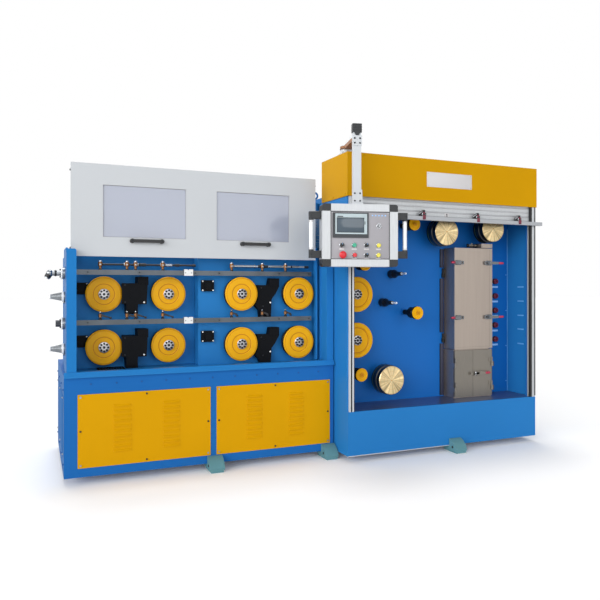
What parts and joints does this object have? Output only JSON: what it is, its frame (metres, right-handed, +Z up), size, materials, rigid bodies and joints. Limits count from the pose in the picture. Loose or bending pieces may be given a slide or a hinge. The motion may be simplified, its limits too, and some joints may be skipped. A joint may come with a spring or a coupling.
{
  "type": "wire drawing machine",
  "caption": "Slip type wire drawing machine: louvred base, open capstan chamber with raised cover, shuttered cabinet with annealer column and a hanging operator pendant.",
  "frame": {"origin": "on the floor under the middle of the machine's bounding box", "axes": "+X along the machine from the drawing chamber to the annealer cabinet, +Y from the operator's side to the back, +Z up"},
  "size_m": [3.4858, 1.5408, 2.206],
  "materials": {
    "blue_paint": "semi-gloss machine enamel, mid blue",
    "yellow_paint": "semi-gloss enamel, signal yellow",
    "white_paint": "fine textured powder coat, off-white",
    "window_sheet": "pale clear plastic sheet",
    "stainless": "brushed stainless sheet",
    "bright_steel": "ground bright steel",
    "brass": "turned brass",
    "aluminium": "anodised aluminium, satin",
    "black_casting": "half-matt black enamel on castings",
    "black_plastic": "matt black plastic",
    "red_plastic": "glossy red plastic",
    "teal_paint": "semi-gloss enamel, grey teal"
  },
  "bodies": {
    "machine": {"base_frame": "blue_paint", "base_panels": "yellow_paint", "chamber_floor": "blue_paint", "drain_grille": "black_plastic", "chamber_left_wall": "blue_paint", "chamber_right_wall": "blue_paint", "chamber_back_wall": "blue_paint", "gear_housing": "blue_paint", "cover_guides": "blue_paint", "spray_rails": "bright_steel", "spray_pipes": "bright_steel", "die_holders": "black_casting", "sensor_boxes": "black_casting", "wire_inlets": "bright_steel", "cabinet_plinth": "blue_paint", "cabinet_side_walls": "blue_paint", "cabinet_back_wall": "blue_paint", "cabinet_housing": "blue_paint", "cabinet_roof": "blue_paint", "shutter_hood": "yellow_paint", "drip_tray": "stainless", "roller_shutter": "aluminium", "shutter_bar": "aluminium", "guide_posts": "aluminium", "guide_pins": "black_plastic", "red_knobs": "red_plastic", "annealer_column": "stainless", "arm_mount": "yellow_paint", "levelling_feet": "teal_paint", "lifting_eyes": "bright_steel"},
    "chamber_cover": {"cover_panel": "white_paint", "cover_windows": "window_sheet", "cover_handles": "black_plastic", "cover_slides": "bright_steel"},
    "lid": {"annealer_lid": "stainless", "annealer_clamps": "bright_steel"},
    "left_leaf": {"annealer_leaf_left": "stainless"},
    "right_leaf": {"annealer_leaf_right": "stainless"},
    "swing_arm": {"pendant_arm": "white_paint", "pendant_post": "white_paint", "pendant_box": "aluminium", "pendant_controls": "black_plastic", "pendant_handles": "black_plastic"},
    "capstan_1_body": {"capstan_1": "yellow_paint"},
    "capstan_2_body": {"capstan_2": "yellow_paint"},
    "capstan_3_body": {"capstan_3": "yellow_paint"},
    "capstan_4_body": {"capstan_4": "yellow_paint"},
    "capstan_5_body": {"capstan_5": "yellow_paint"},
    "capstan_6_body": {"capstan_6": "yellow_paint"},
    "capstan_7_body": {"capstan_7": "yellow_paint"},
    "capstan_8_body": {"capstan_8": "yellow_paint"},
    "haul_wheel_1_body": {"haul_wheel_1": "yellow_paint"},
    "haul_wheel_2_body": {"haul_wheel_2": "yellow_paint"},
    "contact_pulley_1_body": {"contact_pulley_1": "brass"},
    "contact_pulley_2_body": {"contact_pulley_2": "brass"},
    "contact_pulley_3_body": {"contact_pulley_3": "brass"},
    "guide_pulley_1_body": {"guide_pulley_1": "yellow_paint"},
    "guide_pulley_2_body": {"guide_pulley_2": "yellow_paint"},
    "guide_pulley_3_body": {"guide_pulley_3": "yellow_paint"},
    "guide_pulley_4_body": {"guide_pulley_4": "yellow_paint"}
  },
  "joints": [
    {"name": "capstan_1_spin", "type": "hinge", "parent": "machine", "child": "capstan_1_body", "pos_m": [-1.39404, -0.1576, 1.121], "axis": [0, 1, 0], "continuous": true},
    {"name": "capstan_2_spin", "type": "hinge", "parent": "machine", "child": "capstan_2_body", "pos_m": [-0.989, -0.1576, 1.121], "axis": [0, 1, 0], "continuous": true},
    {"name": "capstan_3_spin", "type": "hinge", "parent": "machine", "child": "capstan_3_body", "pos_m": [-0.52422, -0.1576, 1.121], "axis": [0, 1, 0], "continuous": true},
    {"name": "capstan_4_spin", "type": "hinge", "parent": "machine", "child": "capstan_4_body", "pos_m": [-0.1122, -0.1576, 1.121], "axis": [0, 1, 0], "continuous": true},
    {"name": "capstan_5_spin", "type": "hinge", "parent": "machine", "child": "capstan_5_body", "pos_m": [-1.39404, -0.1576, 0.787], "axis": [0, 1, 0], "continuous": true},
    {"name": "capstan_6_spin", "type": "hinge", "parent": "machine", "child": "capstan_6_body", "pos_m": [-0.989, -0.1576, 0.787], "axis": [0, 1, 0], "continuous": true},
    {"name": "capstan_7_spin", "type": "hinge", "parent": "machine", "child": "capstan_7_body", "pos_m": [-0.52422, -0.1576, 0.787], "axis": [0, 1, 0], "continuous": true},
    {"name": "capstan_8_spin", "type": "hinge", "parent": "machine", "child": "capstan_8_body", "pos_m": [-0.1122, -0.1576, 0.787], "axis": [0, 1, 0], "continuous": true},
    {"name": "haul_wheel_1_spin", "type": "hinge", "parent": "machine", "child": "haul_wheel_1_body", "pos_m": [0.26598, -0.2476, 1.11601], "axis": [0, 1, 0], "continuous": true},
    {"name": "haul_wheel_2_spin", "type": "hinge", "parent": "machine", "child": "haul_wheel_2_body", "pos_m": [0.26598, -0.2476, 0.79702], "axis": [0, 1, 0], "continuous": true},
    {"name": "contact_pulley_1_spin", "type": "hinge", "parent": "machine", "child": "contact_pulley_1_body", "pos_m": [0.97891, -0.2476, 1.57097], "axis": [0, 1, 0], "continuous": true},
    {"name": "contact_pulley_2_spin", "type": "hinge", "parent": "machine", "child": "contact_pulley_2_body", "pos_m": [1.40084, -0.2476, 1.60905], "axis": [0, 1, 0], "continuous": true},
    {"name": "contact_pulley_3_spin", "type": "hinge", "parent": "machine", "child": "contact_pulley_3_body", "pos_m": [0.51386, -0.2476, 0.51199], "axis": [0, 1, 0], "continuous": true},
    {"name": "guide_pulley_1_spin", "type": "hinge", "parent": "machine", "child": "guide_pulley_1_body", "pos_m": [0.70096, -0.2476, 1.61596], "axis": [0, 1, 0], "continuous": true},
    {"name": "guide_pulley_2_spin", "type": "hinge", "parent": "machine", "child": "guide_pulley_2_body", "pos_m": [0.72594, -0.2476, 0.98195], "axis": [0, 1, 0], "continuous": true},
    {"name": "guide_pulley_3_spin", "type": "hinge", "parent": "machine", "child": "guide_pulley_3_body", "pos_m": [0.27394, -0.2476, 0.563], "axis": [0, 1, 0], "continuous": true},
    {"name": "guide_pulley_4_spin", "type": "hinge", "parent": "machine", "child": "guide_pulley_4_body", "pos_m": [0.30098, -0.2476, 1.32504], "axis": [0, 1, 0], "continuous": true},
    {"name": "cover_lift", "type": "slide", "parent": "machine", "child": "chamber_cover", "axis": [0, 0, 1], "range_m": [-0.682, 0]},
    {"name": "lid_hinge", "type": "hinge", "parent": "machine", "child": "lid", "pos_m": [1.07096, -0.2276, 1.08], "axis": [0, 0, -1], "range_deg": [0, 75]},
    {"name": "left_leaf_hinge", "type": "hinge", "parent": "machine", "child": "left_leaf", "pos_m": [1.09096, -0.3576, 0.51], "axis": [0, 0, -1], "range_deg": [0, 110]},
    {"name": "right_leaf_hinge", "type": "hinge", "parent": "machine", "child": "right_leaf", "pos_m": [1.42396, -0.3576, 0.51], "axis": [0, 0, 1], "range_deg": [0, 110]},
    {"name": "arm_swing", "type": "hinge", "parent": "machine", "child": "swing_arm", "pos_m": [0.17252, -0.36877, 2.12], "axis": [0, 0, 1], "range_deg": [-24, 24]}
  ]
}
